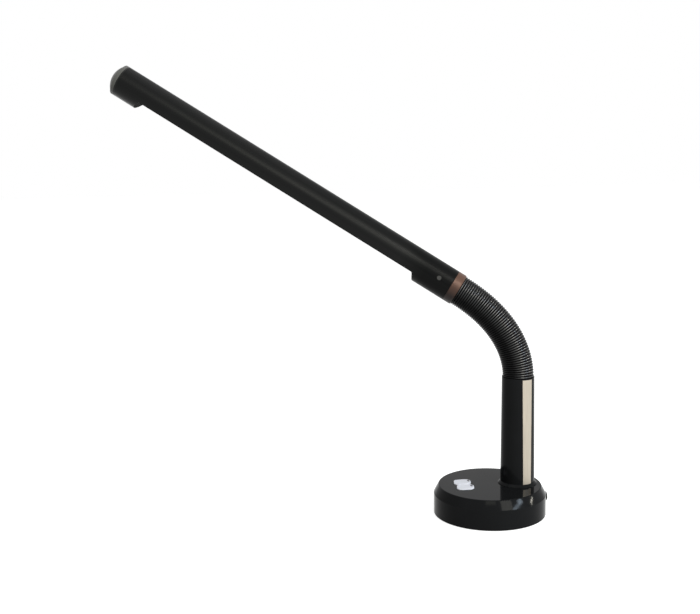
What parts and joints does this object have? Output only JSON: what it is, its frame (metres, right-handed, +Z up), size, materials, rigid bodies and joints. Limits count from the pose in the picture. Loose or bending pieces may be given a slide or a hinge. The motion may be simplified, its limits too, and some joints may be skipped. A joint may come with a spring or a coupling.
{
  "type": "gooseneck desk lamp",
  "caption": "Desk lamp with a round weighted base, two keys, a tapered column with a trim strip, a ribbed flexible neck and a long tube head with a flat lit underside.",
  "frame": {"origin": "centre of the base's underside, on the table", "axes": "+Z up, -X towards the front of the base (the keys), +X towards its back (the column and the power inlet), +Y to the left as seen from the front, the keys' side"},
  "size_m": [0.4551, 0.1852, 0.482],
  "materials": {
    "black_gloss": "polished",
    "black_tube": "polished",
    "black_rubber": "matte",
    "pad_rubber": "matte",
    "key_white": "satin",
    "champagne_strip": "satin",
    "bronze_ring": "satin",
    "steel": "satin",
    "zinc_screw": "satin",
    "dark_screw": "satin",
    "ballast_iron": "matte",
    "board_green": "satin",
    "board_white": "satin",
    "component_dark": "matte",
    "switch_black": "matte",
    "plunger_grey": "matte",
    "diffuser_white": "satin",
    "led_yellow": "satin",
    "carrier_alu": "satin",
    "socket_black": "matte",
    "lead_black": "satin",
    "inlet_black": "satin"
  },
  "bodies": {
    "base": {"base_cover": "black_gloss", "base_plate": "steel", "base_pad": "pad_rubber", "ballast": "ballast_iron", "base_screws": "zinc_screw", "control_board": "board_green", "board_components": "component_dark", "board_screws": "zinc_screw", "tact_switches": "switch_black", "dc_inlet": "inlet_black", "inlet_nut": "steel", "inlet_lead": "lead_black", "column": "black_tube", "trim_strip": "champagne_strip", "column_cap": "black_tube", "neck_post": "steel", "post_washer": "zinc_screw", "post_nut": "zinc_screw", "column_lead": "lead_black", "lower_ferrule": "steel", "neck_sleeve": "black_rubber", "neck_lead": "lead_black"},
    "key_far": {"key_far": "key_white", "plunger_far": "plunger_grey"},
    "key_near": {"key_near": "key_white", "plunger_near": "plunger_grey"},
    "neck_01": {"core_01": "steel"},
    "neck_02": {"core_02": "steel"},
    "neck_03": {"core_03": "steel"},
    "neck_04": {"core_04": "steel"},
    "neck_05": {"core_05": "steel"},
    "neck_06": {"core_06": "steel"},
    "neck_07": {"core_07": "steel"},
    "neck_08": {"core_08": "steel"},
    "neck_09": {"core_09": "steel"},
    "neck_10": {"core_10": "steel"},
    "neck_11": {"core_11": "steel"},
    "head": {"neck_ring": "bronze_ring", "upper_ferrule": "steel", "head_socket": "socket_black", "head_housing": "black_gloss", "head_screws": "dark_screw", "head_cap": "black_gloss", "diffuser": "diffuser_white", "led_carrier": "carrier_alu", "led_board": "board_white", "leds": "led_yellow", "head_lead": "lead_black"}
  },
  "joints": [
    {"name": "neck_bend", "type": "hinge", "parent": "base", "child": "neck_01", "pos_m": [0.03025, 0.00004, 0.15367], "axis": [-0.2538, -0.9673, 0], "range_deg": [-14.22, 8.57], "deforming": ["neck_sleeve", "neck_lead"]},
    {"name": "neck_sway", "type": "hinge", "parent": "neck_01", "child": "neck_02", "pos_m": [0.02905, 0.00036, 0.16332], "axis": [-0.95, 0.2492, -0.188], "range_deg": [-7.5, 7.5]},
    {"name": "neck_bend_2", "type": "hinge", "parent": "neck_02", "child": "neck_03", "pos_m": [0.02674, 0.00096, 0.17276], "axis": [-0.2538, -0.9673, 0], "range_deg": [-12.42, 7.5]},
    {"name": "neck_sway_2", "type": "hinge", "parent": "neck_03", "child": "neck_04", "pos_m": [0.02342, 0.00183, 0.18188], "axis": [-0.8858, 0.2324, -0.4018], "range_deg": [-7.52, 7.52]},
    {"name": "neck_bend_3", "type": "hinge", "parent": "neck_04", "child": "neck_05", "pos_m": [0.0192, 0.00294, 0.19058], "axis": [-0.2538, -0.9673, 0], "range_deg": [-10.61, 6.4]},
    {"name": "neck_sway_3", "type": "hinge", "parent": "neck_05", "child": "neck_06", "pos_m": [0.01419, 0.00425, 0.19883], "axis": [-0.795, 0.2086, -0.5697], "range_deg": [-7.52, 7.52]},
    {"name": "neck_bend_4", "type": "hinge", "parent": "neck_06", "child": "neck_07", "pos_m": [0.0085, 0.00575, 0.20659], "axis": [-0.2538, -0.9673, 0], "range_deg": [-8.79, 5.31]},
    {"name": "neck_sway_4", "type": "hinge", "parent": "neck_07", "child": "neck_08", "pos_m": [0.00222, 0.00739, 0.21385], "axis": [-0.6964, 0.1827, -0.694], "range_deg": [-7.52, 7.52]},
    {"name": "neck_bend_5", "type": "hinge", "parent": "neck_08", "child": "neck_09", "pos_m": [-0.00455, 0.00917, 0.22062], "axis": [-0.2538, -0.9673, 0], "range_deg": [-6.97, 4.21]},
    {"name": "neck_sway_5", "type": "hinge", "parent": "neck_09", "child": "neck_10", "pos_m": [-0.01173, 0.01105, 0.22693], "axis": [-0.604, 0.1585, -0.781], "range_deg": [-7.52, 7.52]},
    {"name": "neck_bend_6", "type": "hinge", "parent": "neck_10", "child": "neck_11", "pos_m": [-0.01925, 0.01302, 0.2328], "axis": [-0.2538, -0.9673, 0], "range_deg": [-5.16, 3.12]},
    {"name": "neck_sway_6", "type": "hinge", "parent": "neck_11", "child": "head", "pos_m": [-0.02703, 0.01507, 0.23829], "axis": [-0.5276, 0.1384, -0.8382], "range_deg": [-7.52, 7.52]},
    {"name": "key_far_press", "type": "slide", "parent": "base", "child": "key_far", "axis": [0, 0, -1], "range_m": [0, 0.0008], "stiffness_N_per_m": 300, "springref_m": -0.001},
    {"name": "key_near_press", "type": "slide", "parent": "base", "child": "key_near", "axis": [0, 0, -1], "range_m": [0, 0.0008], "stiffness_N_per_m": 300, "springref_m": -0.001}
  ],
  "couplings": [
    {"joint": "neck_bend_2", "follows": "neck_bend", "ratio": 0.87223},
    {"joint": "neck_sway_2", "follows": "neck_sway", "ratio": 1},
    {"joint": "neck_bend_3", "follows": "neck_bend", "ratio": 0.74447},
    {"joint": "neck_sway_3", "follows": "neck_sway", "ratio": 1},
    {"joint": "neck_bend_4", "follows": "neck_bend", "ratio": 0.6167},
    {"joint": "neck_sway_4", "follows": "neck_sway", "ratio": 1},
    {"joint": "neck_bend_5", "follows": "neck_bend", "ratio": 0.48894},
    {"joint": "neck_sway_5", "follows": "neck_sway", "ratio": 1},
    {"joint": "neck_bend_6", "follows": "neck_bend", "ratio": 0.36117},
    {"joint": "neck_sway_6", "follows": "neck_sway", "ratio": 1}
  ]
}
